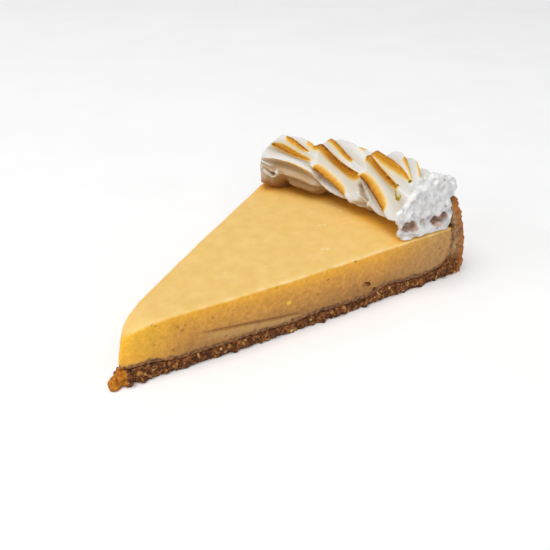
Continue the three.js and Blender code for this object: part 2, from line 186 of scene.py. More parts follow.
def pits(points, size, seed, radius, spread, least, flat):
    """How deep points lie in small pits, from 0 to 1 at a pit's floor. Each cell of the given size
    has a random number from 0 to 1, and a pit in its middle if the number is above least. The pit's
    radius in cells is radius and the number's share of spread, and a share flat of it is floor."""
    scaled = points / np.asarray(size, float) + np.array([7.9, 3.3, 11.1]) * seed
    near = [noise.voronoi(Vector(p)) for p in scaled.tolist()]
    distance = np.array([distances[0] for distances, _ in near])
    number = np.array([noise.cell(middles[0] * 91.7) for _, middles in near])
    outer = radius + spread * number
    return smoothstep(outer, outer * flat, distance) * (number > least)


def nearest(places, points):
    """For each point, the nearest place's index, and how far away that place is."""
    tree = kdtree.KDTree(len(places))
    for index, place in enumerate(places.tolist()):
        tree.insert(place, index)
    tree.balance()
    found = [tree.find(point) for point in points.tolist()]
    return np.array([index for _, index, _ in found]), np.array([away for _, _, away in found])


# ---- Meshes ----


@contextmanager
def edited(mesh):
    """Opens a mesh as a bmesh, and writes that back at the end."""
    work = bmesh.new()
    work.from_mesh(mesh)
    yield work
    work.to_mesh(mesh)
    work.free()


def new_piece(name, points, faces):
    """An object with one closed mesh: points that share a place are merged."""
    mesh = bpy.data.meshes.new(name)
    mesh.from_pydata(np.asarray(points).tolist(), [], np.asarray(faces).tolist())
    with edited(mesh) as work:
        bmesh.ops.remove_doubles(work, verts=work.verts, dist=1e-4)
        bmesh.ops.dissolve_degenerate(work, edges=work.edges, dist=1e-5)
        bmesh.ops.recalc_face_normals(work, faces=work.faces)
    piece = bpy.data.objects.new(name, mesh)
    bpy.context.scene.collection.objects.link(piece)
    return piece


def grid_faces(rows, columns, first=0, wrap=False):
    """Quads between rows and columns of points, closed round the columns if they wrap."""
    row, column = np.meshgrid(np.arange(rows - 1), np.arange(columns - (not wrap)), indexing="ij")
    following = (column + 1) % columns
    corners = [(row, column), (row + 1, column), (row + 1, following), (row, following)]
    return first + np.stack([r * columns + c for r, c in corners], -1).reshape(-1, 4)


def bent_block(name, us, vs, ws, place):
    """A closed block bent by place(u, v, w), on the given steps of u, v and w from 0 to 1."""
    steps = [us, vs, ws]
    points = []
    faces = []
    count = 0
    for axis in range(3):
        across, along = (axis + 1) % 3, (axis + 2) % 3
        for end in (0, 1):
            uvw = [None] * 3
            uvw[across], uvw[along] = np.meshgrid(steps[across], steps[along], indexing="ij")
            uvw[axis] = np.full_like(uvw[across], end)
            side = place(*(part.ravel() for part in uvw))
            points.append(side)
            faces.append(grid_faces(len(steps[across]), len(steps[along]), count))
            count += len(side)
    return new_piece(name, np.concatenate(points), np.concatenate(faces))


def ball_grid(rings, around):
    """The grid of a bent ball: t runs from 0 to 1 between its poles, and turn goes round it."""
    turns = np.linspace(-np.pi, np.pi, around, endpoint=False)
    t, turn = np.meshgrid(even(rings + 1), turns, indexing="ij")
    return t.ravel(), turn.ravel()


def bent_ball(name, rings, around, place):
    """A closed surface from place(t, turn), on the grid of a ball."""
    return new_piece(name, place(*ball_grid(rings, around)), grid_faces(rings + 1, around, wrap=True))


def ball_points(t, turn):
    """The points of a ball of radius 1, with its poles on X."""
    ring = np.sin(np.pi * t)
    return np.stack([np.cos(np.pi * t), ring * np.cos(turn), ring * np.sin(turn)], -1)


def applied(piece):
    """Applies a piece's modifiers to its mesh."""
    graph = bpy.context.evaluated_depsgraph_get()
    mesh = bpy.data.meshes.new_from_object(piece.evaluated_get(graph))
    piece.modifiers.clear()
    old = piece.data
    piece.data = mesh
    bpy.data.meshes.remove(old)
    return piece


def join(pieces):
    """Joins pieces into the first one."""
    with edited(pieces[0].data) as work:
        for piece in pieces[1:]:
            work.from_mesh(piece.data)
            bpy.data.objects.remove(piece)
    return pieces[0]


def remesh(piece, size):
    """Makes one even skin of squares round everything in a piece."""
    modifier = piece.modifiers.new("Remesh", "REMESH")
    modifier.mode = "VOXEL"
    modifier.voxel_size = size
    return applied(piece)


def cut_away(piece, cutters):
    """Takes the room of the cutters out of a piece, and removes the cutters."""
    for cutter in cutters:
        modifier = piece.modifiers.new("Cut", "BOOLEAN")
        modifier.operation = "DIFFERENCE"
        modifier.solver = "MANIFOLD"
        modifier.object = cutter
        applied(piece)
        bpy.data.objects.remove(cutter)
    return piece


def soften(piece, rounds, chosen=None):
    """Relaxes a mesh's points, or only the chosen ones, towards their neighbours."""
    with edited(piece.data) as work:
        verts = work.verts[:]
        if chosen is not None:
            verts = [verts[i] for i in np.flatnonzero(chosen)]
        for _ in range(rounds):
            bmesh.ops.smooth_vert(
                work, verts=verts, factor=0.5, use_axis_x=True, use_axis_y=True, use_axis_z=True
            )
    return piece


def keep_largest(piece):
    """Drops the scraps that cutting leaves loose."""
    with edited(piece.data) as work:
        left = set(work.verts)
        islands = []
        while left:
            queue = [left.pop()]
            island = list(queue)
            while queue:
                for edge in queue.pop().link_edges:
                    for vert in edge.verts:
                        if vert in left:
                            left.remove(vert)
                            queue.append(vert)
                            island.append(vert)
            islands.append(island)
        islands.sort(key=len)
        for island in islands[:-1]:
            bmesh.ops.delete(work, geom=island, context="VERTS")
    return piece


def surface_of(piece):
    """The places and the normals of a mesh's points."""
    rows = np.empty((2, len(piece.data.vertices) * 3), np.float32)
    piece.data.vertices.foreach_get("co", rows[0])
    piece.data.vertices.foreach_get("normal", rows[1])
    return rows.reshape(2, -1, 3).astype(float)


def move_points(piece, points):
    """Puts a mesh's points in new places."""
    piece.data.vertices.foreach_set("co", points.astype(np.float32).ravel())
    piece.data.update()


def paint(piece, **layers):
    """Keeps numbers for each point, which the piece's material reads by their names."""
    for name, values in layers.items():
        attribute = piece.data.attributes.new(name, "FLOAT", "POINT")
        attribute.data.foreach_set("value", np.asarray(values, np.float32))


def blurred(piece, values, rounds):
    """Values at a mesh's points, brought towards the mean of their neighbours' ones."""
    ends = np.empty(2 * len(piece.data.edges), int)
    piece.data.edges.foreach_get("vertices", ends)
    a, b = ends.reshape(-1, 2).T
    neighbours = np.maximum(np.bincount(ends, minlength=len(values)), 1)
    for _ in range(rounds):
        total = np.bincount(a, values[b], len(values)) + np.bincount(b, values[a], len(values))
        values = (values + total / neighbours) / 2
    return values


def finished(piece, node, material):
    """Scales a piece to metres, and puts it in its CAD node's place."""
    piece.data.transform(Matrix.Scale(MM, 4))
    piece.data.shade_smooth()
    piece.data.materials.clear()
    piece.data.materials.append(material)
    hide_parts(node)
    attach(piece, "root")


# ---- Crust ----

# Outlines from the foot up: distance outside TART_RADIUS, and height.
OUTER_FACE = [
    (0, 0), (0.4, 4), (0.2, 7), (-0.1, 11), (-0.8, 17), (-2.6, 23), (-4.9, 28.5), (-6.4, WALL_HEIGHT),
]
INNER_FACE = [
    (-11, 0), (-11, 4.6), (-8.8, 6.4), (-6.4, 9.5), (-5.6, 15), (-6.2, 21), (-7.8, 27), (-10, WALL_HEIGHT),
]
# Heights of the line between crust and filling, at distances from the tart's centre.
LINE_HEIGHTS = [
    (0, 5.2), (8, 5.5), (13, 5.4), (18, 4.4), (25, 3.8), (30, 4.1), (36, 3.7), (44, 4.1), (52, 3.9),
    (62, 3.4), (75, 4.1), (88, 3.1), (96, 3.2), (104, 5.6), (113, 4.3), (122, 3.9), (134, 5.8),
]

CRUST_VOXEL = 0.42
BLOCK_INSET = 0.4  # how far the plain blocks stay behind the cut faces that the crumbs make
CRUMB_SEAT = 0.3  # how far behind those faces the crumbs are set, besides a share of their radius
WALL_TOP_TRIM = 0.3  # how much lower the wall's block is at its top, where relief comes on it
ROOM_RISE = 1.1  # how far the room that is cut out for the wall goes on above it
ROOM_BACK = 10  # and behind it
ROOM_WIDTH = 1.3  # its width, in widths of the slice
BASE_CRUMBS = 230  # on each cut face
WALL_CRUMBS = 70
CRUMB_FLATNESS = (0.6, 0.95)
# Crumbs stuck to the filling's +X cut: distance from the tart's centre, height and radius.
STUCK_CRUMBS = [(94, 9.3, 1.0), (95.5, 8.9, 0.9), (96.6, 7.8, 0.8), (98.3, 6.2, 0.8), (104, 8.6, 0.4)]
# Lumps at the pointed end: place along X, distance from the tart's centre and radius.
TIP_LUMPS = [(0, 0.6, 2.3), (2.2, 4, 2.0), (-2, 4.4, 1.9), (3.8, 8.2, 1.7)]
TIP_LUMP_CRUMBS = 9  # on each lump


def crust_line(points):
    """The height at which the filling lies on the crust's base."""
    distances, heights = zip(*LINE_HEIGHTS)
    flat = points * np.array([1, 1, 0])
    return np.interp(radius_of(points), distances, heights) + 0.3 * pattern(flat, 3, 3)


def wall_face(outline, up):
    """Radius and height of the wall's outer or inner face, at shares of its way up."""
    face = smooth_path(outline, up)
    return TART_RADIUS + face[..., 0], face[..., 1]


def in_wall(up, through):
    """Radius and height at shares of the way up the wall, and through it from its outer face."""
    outer_r, outer_z = wall_face(OUTER_FACE, up)
    inner_r, inner_z = wall_face(INNER_FACE, up)
    return lerp(outer_r, inner_r, through), lerp(outer_z, inner_z, through)


def inside_wall(z):
    """The distance of the wall's inner face from the tart's centre, at heights."""
    inner_r, inner_z = wall_face(INNER_FACE, even(60))
    return np.interp(z, inner_z, inner_r)


def base():
    """The crust's base, up to the filling and from the pointed end to under the wall."""

    def place(along, across, up):
        r = lerp(CRUST_TIP_R, BASE_END_R, along)
        points = polar(r, HALF_ANGLE * (2 * across - 1), 0)
        points[:, 2] = (crust_line(points) - GAP / 2) * up
        for side, edge in CUT_SIDES:
            proud = bow_at(side, r) + CRUST_PROUD - BLOCK_INSET
            points += np.outer((across == edge) * proud, out_of_cut(side))
        return points

    return bent_block("base", even(140), even(40), even(4), place)


def wall():
    """The crust's standing wall."""

    def place(across, up, through):
        r, z = in_wall(up, through)
        points = polar(r, HALF_ANGLE * (2 * across - 1), z - WALL_TOP_TRIM * up)
        for side, edge in CUT_SIDES:
            points += np.outer((across == edge) * (CRUST_PROUD - BLOCK_INSET), out_of_cut(side))
        return points

    return bent_block("wall", even(60), even(30), even(5), place)


def wall_room():
    """The room that the wall takes up, with the gap round it, to cut out of the meringue."""

    def place(across, up, through):
        outer_r, outer_z = wall_face(OUTER_FACE, up)
        inner_r, inner_z = wall_face(INNER_FACE, up)
        rise = (up == 1) * ROOM_RISE
        r = lerp(outer_r + ROOM_BACK, inner_r - GAP - 0.5 * rise, through)
        angle = ROOM_WIDTH * HALF_ANGLE * (2 * across - 1)
        return polar(r, angle, lerp(outer_z, inner_z, through) + rise)

    return bent_block("wall_room", even(60), even(40), even(3), place)


def crumb_list(random):
    """The middle, radius and flatness of each crumb that stands out of the crust."""
    crumbs = []
    for side in (-1, 1):
        for _ in range(BASE_CRUMBS):
            radius = random.choice([0.55, 0.8, 1.1, 1.5], p=[0.35, 0.35, 0.2, 0.1])
            r = random.uniform(7, BASE_END_R + 1)
            line = crust_line(polar(r, side * HALF_ANGLE, 0)[None])[0]
            z = random.uniform(radius * 0.7, line - GAP - radius * 0.8)
            out = bow_at(side, r) + CRUST_PROUD - CRUMB_SEAT - radius * random.uniform(0.15, 0.5)
            crumbs.append((on_cut(side, r, z, out), radius, random.uniform(*CRUMB_FLATNESS)))
        for _ in range(WALL_CRUMBS):
            radius = random.choice([0.5, 0.7, 0.95], p=[0.4, 0.4, 0.2])
            up = random.uniform(0.05, 0.93)
            r, z = in_wall(up, random.uniform(0.15, 0.65))
            out = CRUST_PROUD - CRUMB_SEAT - radius * random.uniform(0.2, 0.6)
            centre = on_cut(side, r, max(z, radius), out)
            crumbs.append((centre, radius, random.uniform(*CRUMB_FLATNESS)))
    for r, z, radius in STUCK_CRUMBS:
        crumbs.append((on_cut(1, r, z, bow_at(1, r) - 0.2 * radius), radius, 0.8))
    for x, r, radius in TIP_LUMPS:
        middle = np.array([x, TART_CENTRE_Y + r, radius * 0.8])
        crumbs.append((middle, radius, 0.85))
        for _ in range(TIP_LUMP_CRUMBS):
            small = random.uniform(0.5, 1.0)
            away = random.normal(size=3)
            away *= (radius - 0.2 * small) / np.linalg.norm(away)
            centre = middle + away
            centre[2] = max(centre[2], small * 0.6)
            crumbs.append((centre, small, 0.8))
    return crumbs


def scattered(crumbs, random):
    """One piece with a lumpy ball for each crumb, each turned its own way."""
    ball = bmesh.new()
    bmesh.ops.create_icosphere(ball, subdivisions=2, radius=1)
    shape = np.array([vert.co for vert in ball.verts])
    shape_faces = np.array([[vert.index for vert in face.verts] for face in ball.faces])
    ball.free()
    points = []
    faces = []
    for i, (centre, radius, flatness) in enumerate(crumbs):
        lumpy = shape * (1 + 0.35 * pattern(shape, 0.8, i))[:, None]
        turn, _ = np.linalg.qr(random.normal(size=(3, 3)))
        points.append(centre + radius * (lumpy * [1.3, 1, flatness]) @ turn)
        faces.append(shape_faces + i * len(shape))
    return new_piece("crumbs", np.concatenate(points), np.concatenate(faces))


def crust():
    random = np.random.default_rng(11)
    crumbs = crumb_list(random)
    piece = remesh(join([base(), wall(), scattered(crumbs, random)]), CRUST_VOXEL)
    piece.name = "crumb_crust"

    points, normals = surface_of(piece)
    under = smoothstep(-0.3, -0.9, normals[:, 2]) * (points[:, 2] < 1)
    hidden = smoothstep(0.6, 0.9, normals[:, 2]) * (points[:, 2] < 9)
    relief = layered(points, (0.32, 1.7, 0), (0.2, 0.8, 2))
    points += normals * ((1 - under) * (1 - 0.8 * hidden) * relief)[:, None]
    points[:, 2] = np.maximum(points[:, 2], 0.0)
    points[under > 0.5, 2] = 0
    move_points(piece, points)

    r = radius_of(points)
    z = points[:, 2]
    tones = random.uniform(0, 1, len(crumbs))
    radii = np.array([radius for _, radius, _ in crumbs])
    number, distance = nearest(np.array([centre for centre, _, _ in crumbs]), points)
    outer_r, _ = wall_face(OUTER_FACE, np.clip(z / WALL_HEIGHT, 0, 1))
    paint(
        piece,
        crumb=tones[number] * smoothstep(1.35, 1.05, distance / radii[number]),
        # painted shade, darker where the crust's relief dips
        crevice=smoothstep(0.1, -0.45, relief),
        outside=smoothstep(4.5, 1.2, outer_r - r),
        tip=smoothstep(4.6, 3.4, r),
        baked=0.95 * smoothstep(7, 12, z) * (r > 120),
    )
    finished(piece, "crust", crust_material())


# ---- Filling ----

WALL_SLIT = 0.05  # how far the filling ends before the wall, as a wider slit would show at the cuts
TOP_SAG = 0.14
TIP_ROUNDING = ((18, 80), (11, 120))  # reach from the tart's centre, and rounds of softening there
PORE_DEPTH = 0.5
SEAM = ((33, 10.8), (62, 7.1))  # a crease that the knife left low in the +X cut: distance, height
SEAM_DEPTH = 0.45
SEAM_LIP = 0.2  # how far the band under it stands out
ZEST = (62, 12.1, 0.9)  # a bit of zest in the +X cut: distance, height, radius
# Pale specks on the top: distance, angle in degrees and radius.
TOP_SPECKS = [
    (111, 1.3, 0.7), (96, 2.6, 0.8), (97.6, 3.2, 0.6), (84, 11.3, 0.6), (85.5, 12, 0.7), (113, -14.9, 0.7),
    (102.5, -2.7, 0.5), (70, -4, 0.4), (61, 9, 0.4), (48, 2, 0.4), (90, -9, 0.4),
]
# The line of the rope's foot on the filling: s and n.
ROPE_FOOT = [
    (-44, 9), (-34, 11.4), (-27, 8.4), (-20, 8.6), (-12, 8.2), (-6, 5.4), (0, 6.6), (8, 8.6), (16, 10),
    (24, 9.6), (31, 9.6), (36, 11.4), (42, 12.4),
]


def seam(r, z):
    """How near places on the +X cut lie to the crease, and to the band under it, from 0 to 1."""
    (r0, z0), (r1, z1) = SEAM
    below = lerp(z0, z1, (r - r0) / (r1 - r0)) - z
    ends = smoothstep(r0 - 6, r0 + 3, r) * smoothstep(r1 + 9, r1, r)
    lip = smoothstep(0, 0.9, below) * smoothstep(4.5, 2, below)
    return ends * bell(below, 0, 0.42), ends * lip


def beyond_foot(points):
    """How far points lie from the rope's foot, towards the slice's pointed end."""
    s, n, _ = rope_places(points).T
    foot_s, foot_n = zip(*ROPE_FOOT)
    return n - np.interp(s, foot_s, foot_n)


def filling_block():
    """The filling with smooth faces and a rounded edge round its top."""

    def place(along, across, up):
        start = FILLING_TIP_R + FILLING_TIP_LEAN * up**2
        off_middle = 2 * across - 1
        end = inside_wall(lerp(BASE_THICKNESS, FILLING_TOP, up)) - WALL_SLIT
        r = lerp(start, end, along)
        fade = np.exp(-(r - start) / FILLING_TIP_REACH)
        points = polar(r + FILLING_NOSE * off_middle**2 * fade, HALF_ANGLE * off_middle, 0)
        bottom = crust_line(points) + GAP / 2
        top = FILLING_TOP - FILLING_TIP_DROP * fade**2
        points[:, 2] = lerp(bottom, top, up)
        sag = TOP_SAG + TOP_SAG * pattern(points, (16, 16, 99), 1)
        points[:, 2] -= smoothstep(0.75, 1, up) * sag
        down = top - sag - points[:, 2]
        for side, edge in CUT_SIDES:
            at_edge = across == edge
            points += np.outer(at_edge * bow_at(side, r), out_of_cut(side))
            q = FILLING_EDGE - np.stack([-outside_cut(side, points), down], -1)
            length = np.linalg.norm(q, axis=1)
            near = (q > 0).all(1) & (length > FILLING_EDGE) & ((up == 1) | at_edge)
            pull = np.where(near, 1 - FILLING_EDGE / np.maximum(length, 1e-6), 0)[:, None] * q
            points -= np.outer(pull[:, 0], out_of_cut(side))
            points[:, 2] -= pull[:, 1]
        return points

    along = np.concatenate([np.linspace(0, 0.03, 12)[:-1], np.linspace(0.03, 1, 290)])
    edge_steps = np.array([0, 0.002, 0.004, 0.007, 0.010, 0.014])
    across = np.concatenate([edge_steps, np.linspace(0.02, 0.98, 110), 1 - edge_steps[::-1]])
    up = np.concatenate([np.linspace(0, 0.93, 36), np.linspace(0.945, 1, 6)])
    piece = bent_block("lemon_filling_cut", along, across, up, place)
    for reach, rounds in TIP_ROUNDING:
        points, _ = surface_of(piece)
        soften(piece, rounds, (radius_of(points) < reach) & (points[:, 2] > BASE_THICKNESS + 3))
    return piece


def filling():
    piece = filling_block()
    points, normals = surface_of(piece)
    r = radius_of(points)
    z = points[:, 2]
    inside = {side: -outside_cut(side, points) for side in (-1, 1)}
    edge = np.zeros(len(points))
    pale = np.zeros(len(points))
    pit = np.zeros(len(points))
    for side in (-1, 1):
        facing = smoothstep(0.5, 0.9, normals @ out_of_cut(side))
        flat = np.stack([r, z, np.full(len(r), 40.0 * side)], -1)
        waves = layered(flat, (0.3, (15, 11, 1), 4), (0.06, (3.1, 9, 1), 5))
        fine = layered(flat, (0.12, 1.5, 6), (0.06, 0.7, 7))
        pores = pits(flat, (2.6, 2.2, 1), 8, radius=0.09, spread=0.16, least=0.4, flat=0.4)
        relief = waves + fine - PORE_DEPTH * pores
        if side > 0:
            crease, lip = seam(r, z)
            relief += SEAM_LIP * lip - SEAM_DEPTH * crease
            pale = facing * lip
            pit = np.maximum(pit, facing * crease * 0.8)
        points += np.outer(facing * relief, out_of_cut(side))
        pit = np.maximum(pit, facing * pores)
        edge = np.maximum(edge, bell(inside[side], 0.3, 0.45))
    move_points(piece, points)

    top_distance = FILLING_TOP - z
    broken = smoothstep(-0.5, 0.5, layered(points, (1, 4, 22), (0.5, 1.5, 27)))
    above_line = z - crust_line(points)
    from_crust = np.minimum(above_line, inside_wall(z) - r)
    crumbed = from_crust + layered(points, (0.9, 1.6, 25), (0.5, 0.8, 26))
    # Weeping by the rope's foot, spread into painted light: a brighter, more saturated orange in the rope's
    # shade
    wept = np.exp(-np.maximum(0, beyond_foot(points)) / 2.4) * smoothstep(0.2, 1.5, inside[1])
    speck = np.zeros(len(points))
    for speck_r, degrees, radius in TOP_SPECKS:
        away = np.linalg.norm(points - polar(speck_r, math.radians(degrees), FILLING_TOP), axis=1)
        speck = np.maximum(speck, smoothstep(1.4 * radius, 0.5 * radius, away))
    zest_r, zest_z, radius = ZEST
    from_zest = np.hypot(r - zest_r, z - zest_z)
    paint(
        piece,
        # edge: a painted highlight along the top edge of the cut faces
        edge=edge * bell(top_distance, 0.2, 0.5) * broken * smoothstep(16, 45, r),
        cut=smoothstep(0.75, 0.35, np.abs(normals[:, 2])),
        pale=pale,
        # painted shade in the pores and in the knife's crease
        pit=pit,
        # depth and tip carry painted light: a glow near the top and by the pointed end, painted shade lower
        # down
        depth=np.clip(top_distance / (FILLING_TOP - BASE_THICKNESS), 0, 1),
        tip=smoothstep(28, 6, r),
        streak=0.5 + 0.5 * pattern(points, (2.3, 2.3, 6), 23),
        stain=np.maximum(smoothstep(2.4, 0.1, above_line), 1.3 * smoothstep(98, 131, r)),
        wept=wept * (z > FILLING_TOP - 1.5),
        crumbed=smoothstep(2.0, 1.3, crumbed),
        speck=speck,
        zest=smoothstep(1.3 * radius, 0.6 * radius, from_zest) * (inside[1] < 3),
    )
    finished(piece, "lemon_filling", filling_material())


# ---- Meringue: its ridges ----

RIDGE_DEPTH = 3.6
CREST_WIDTH = 1.15  # above 1 the crests are rounder than the nozzle's plain star
FULL_SPACING = 32  # degrees between two crests whose valley has its full depth
BACK_SPACING = 29  # degrees between the crests at the back
LAST_CREST = 290  # how far round the crests go, in degrees
LOW_RIDGES = 3  # plain ridges below the listed ones
BACK_RIDGES = 8  # plain ridges past the listed ones, at most
LOW_VALLEY = 0.6  # where a valley's floor lies, as a share of the way between its crests
TOP_VALLEY = 0.36  # the same for valleys over the top

# The ridges of the lobes that show, from the front over the top. For each, the angle of its
# crest at four places along the lobe, in degrees from level towards the slice's tip; from where
# to where along the lobe the torch browned it; how far the amber goes, as shares of the way to the
# valley, down its lower flank at the start and the end, and down its upper flank; and how strong
# it is.
CREST_PLACES = (0.1, 0.3, 0.5, 0.75)
RIDGES = {
    -1: [
        ((25, 26, 30, 36), (0.5, 0.78), (0.1, 0.2, 0.05), 0.3),
        ((81, 59, 49, 71), (0.28, 0.7), (0.05, 0.05, 1.5), 0.95),
        ((130, 108, 83, 94), (0.34, 0.62), (0.3, 0.2, 0.5), 0.85),
        ((150, 132, 113, 108), (0.5, 0.63), (0.3, 0.3, 0.5), 0.5),
    ],
    0: [
        ((22, 0, -17, -18), (0.3, 0.5), (0.1, 0.1, 0.1), 0.0),
        ((34, 16, 5, -16), (0.26, 0.72), (0.5, 0.1, 0.45), 0.8),
        ((98, 66, 50, 62), (0.1, 0.76), (0.35, 0.7, 0.1), 0.95),
        ((130, 94, 70, 80), (0.2, 0.6), (0.35, 0.7, 0.1), 0.9),
        ((155, 119, 104, 96), (0.5, 0.56), (0.3, 0.3, 0.2), 0.1),
    ],
    1: [
        ((35, 24, 11, -8), (0.25, 0.72), (0.12, 0.12, 0.5), 0.9),
        ((95, 63, 50, 53), (0.13, 0.71), (0.6, 0.2, 0.1), 0.9),
        ((110, 81, 76, 74), (0.16, 0.72), (1.7, 0.2, 0.1), 0.85),
        ((150, 125, 96, 79), (0.44, 0.72), (0.4, 0.25, 0.08), 0.8),
        ((170, 148, 118, 92), (0.5, 0.7), (0.2, 0.15, 0.08), 0.5),
    ],
}
PLAIN_BROWNING = ((0.2, 0.5), (0.5, 0.4, 0.3), 0.55)  # the same for the plain ridges at the back


def ridges_of(number):
    """A lobe's listed ridges: the last lobe's stand for those of the lobe that doesn't show."""
    return RIDGES.get(number, RIDGES[LAST_LOBE])


def crest_angles(number, t):
    """The crests' angles round a lobe at shares t of its length, in rising order, in radians."""
    shares = np.clip(t, 0.04, 0.88)
    rows = [np.polyval(np.polyfit(CREST_PLACES, ridge[0], 3), shares) for ridge in ridges_of(number)]
    for _ in range(LOW_RIDGES):
        rows.insert(0, rows[0] - FULL_SPACING)
    while rows[-1].min() < LAST_CREST:
        rows.append(rows[-1] + BACK_SPACING)
    apart = 0.01 * np.arange(len(rows))[:, None]
    return np.radians(np.maximum.accumulate(np.array(rows) + apart))


def ridged(number, t, angle):
    """For places on a lobe: how deep in a valley each lies, from 0 on a crest to 1, the nearest
    ridge, how far from its crest it is as a share of the way to the valley, and if it lies below."""
    crests = crest_angles(number, t)
    valley = np.full(len(t), 0.6)
    ridge = np.full(len(t), -1)
    away = np.ones(len(t))
    below = np.zeros(len(t), bool)
    for i in range(len(crests) - 1):
        gap = np.maximum(crests[i + 1] - crests[i], 1e-3)
        u = (angle - crests[i]) / gap
        inside = (u >= 0) & (u < 1)
        # Over the top the crests lean away from the slice's tip, low down and on the first whole
        # lobe towards it.
        over_top = 0 if number == FIRST_LOBE + 1 else smoothstep(0.3, 1.4, crests[i] + gap / 2)
        floor = lerp(LOW_VALLEY, TOP_VALLEY, over_top)
        bent = np.where(u < floor, 0.5 * u / floor, 0.5 + 0.5 * (u - floor) / (1 - floor))
        depth = np.minimum(1, np.degrees(gap) / FULL_SPACING) ** 0.7
        deep = np.sin(np.pi * np.clip(bent, 0, 1)) ** CREST_WIDTH * depth
        valley = np.where(inside, deep, valley)
        ridge = np.where(inside, np.where(bent < 0.5, i, i + 1) - LOW_RIDGES, ridge)
        away = np.where(inside, np.minimum(u, 1 - u) * 2, away)
        below = np.where(inside, bent >= 0.5, below)
    return valley, ridge, away, below


def browning(number, t, angle):
    """How far the torch browned places on a lobe. The one that the -X cut goes through is white."""
    toast = np.zeros(len(t))
    if number == FIRST_LOBE:
        return toast
    _, ridge, away, below = ridged(number, t, angle)
    listed = [values[1:] for values in ridges_of(number)]
    for i, browned in enumerate(listed + [PLAIN_BROWNING] * BACK_RIDGES):
        (start, end), (first, last, upper), strength = browned
        off_middle = np.abs(2 * (t - (start + end) / 2) / (end - start))
        fade = np.sqrt(np.maximum(0, 1 - np.minimum(off_middle, 1) ** 3.5))
        lower = lerp(first, last, np.clip((t - start) / (end - start), 0, 1))
        reach = np.where(below, lower, upper) * fade
        softness = 0.14 + 0.21 * smoothstep(0, 0.3, reach)
        amber = smoothstep(reach + softness, reach * 0.3, away) * smoothstep(0, 0.45, fade)
        char = smoothstep(0.17, 0.05, away) * smoothstep(0.1, 0.6, fade)
        toast += (ridge == i) * strength * (0.64 * amber + 0.4 * char)
    return toast


# ---- Meringue: its lobes ----

# The middle of a lobe: distance along the rope from the lobe's own place, n and h.
LOBE_PATH = [(-6, -1, 8), (0, -1.6, 10.3), (8, -1, 11), (17, 0.5, 10.2), (25, 2.6, 8.4), (31, 4, 6.5)]
# Soft bellies under the lobes' front, where the first meringue was pressed out: middle as s, n and
# h, and half sizes.
BELLIES = [((-31.5, 4.4, 6.2), (8.4, 7.8, 6.8)), ((-17.5, 0.8, 6.6), (8.6, 8.6, 7.2))]


def lobe_radius(number, t):
    """How thick a lobe is along its path: it swells quickly, then thins into a tail. The last one,
    which the knife cut through, stays thick."""
    swell = np.minimum(1, np.sqrt(t / 0.26))
    thinning, end = (0.2, 0.04) if number == LAST_LOBE else (0.42, 0.12)
    thin = 1 - thinning * smoothstep(0.45, 1, t)
    return LOBE_RADIUS * swell * thin * np.sqrt(np.minimum(1, (1 - t) / end))


def kept_above(heights, low):
    """Lifts heights that come near a low limit, so that none falls below it."""
    blend = 1.5
    lifted = low + blend * np.exp(np.minimum(heights - low - blend, 0) / blend)
    near = (low > 0) & (heights < low + blend)
    return np.where(near, lerp(heights, lifted, np.minimum(low, 1)), heights)


def lobe_place(number):
    """The function that gives a lobe's points from t along it and turn round it."""
    size = LOBE_SIZES[number]

    def place(t, turn):
        angle = turn + math.pi / 2
        radius = lobe_radius(number, t)
        valley, *_ = ridged(number, t, angle)
        valley = lerp(valley, 0.55, 0.5 if number == FIRST_LOBE else 0)
        valley = lerp(valley, 0.35, smoothstep(0.25, 0.8, -np.sin(angle)))
        radius = radius - RIDGE_DEPTH * (radius / LOBE_RADIUS) ** 2 * valley
        middle = smooth_path(LOBE_PATH, t)
        ahead = smooth_path(LOBE_PATH, t + 1e-3) - smooth_path(LOBE_PATH, t - 1e-3)
        level = np.cross([0, 0, 1], ahead)
        level /= np.linalg.norm(level, axis=1, keepdims=True)
        over = np.cross(ahead, level)
        over /= np.linalg.norm(over, axis=1, keepdims=True)
        middle += (size * radius * np.cos(angle))[:, None] * level
        middle += (size * radius * np.sin(angle))[:, None] * over
        x, n, h = middle.T
        h = h * size
        if number >= FIRST_HANGING_LOBE:
            tail = (number == LAST_LOBE) * TAIL_HOVER * smoothstep(0.6, 0.95, t)
            h = kept_above(h, HOVER * (smoothstep(0.25, 0.5, t) + tail) * smoothstep(-2, 3, n))
        return beside_rope(LOBE_PHASE + LOBE_PITCH * number + x, n + (1 - size) * THIN_SHIFT, h)

    return place


def rope_core():
    """A bar through all lobes, so that nothing between them is hollow."""

    def place(along, across, up):
        turn = 2 * across - 1
        lift = 2 * up - 1
        reach = ROPE_CORE_RADIUS / np.maximum(1, np.hypot(turn, lift))
        return beside_rope(lerp(-1.1, 1.1, along) * ROPE_END, turn * reach - 2.5, 7 + lift * reach)

    return bent_block("core", even(60), even(12), even(12), place)


def belly(middle, half):
    """A lumpy ball with the given half sizes."""

    def place(t, turn):
        p = ball_points(t, turn)
        return beside_rope(*(np.array(middle) + half * p * (1 + 0.05 * pattern(p, 0.6, 4))[:, None]).T)

    return bent_ball("belly", 40, 60, place)


# ---- Meringue: its torn end ----

# The outline of the torn end on the +X cut, as n and h, and the middle that the lump under it
# narrows to.
TORN_OUTLINE = [
    (11.6, -1), (12.2, 4), (13.8, 8.6), (13.4, 12.6), (11.4, 16.2), (8.2, 20.0), (4.6, 22.4), (0.6, 23.0),
    (-6.0, 22.2), (-10.8, 20.4), (-13.2, 17.4), (-13.4, 13.4), (-12.8, 8), (-12.4, 2), (-10, -3), (2, -3),
]
TORN_MIDDLE = (2.4, 10.5)
LUMP_SHIFT = 1.4  # how far the lump's widest place lies past the rope's end
LUMP_OUT = 7  # how far the lump reaches from its widest place towards +X
LUMP_IN = 13  # and along the rope, into the slice
LUMP_LEAN = (-0.3, -0.45)  # how its middle moves for each millimetre that way
RIM_ROUNDING = 2.6  # how far the torn end's rim is set back
MOST_HOLLOW = 0.6  # deeper than this, a hollow gets no foam
LEAST_INNER = 1.1  # nearer than this to the outline, the rim gets none
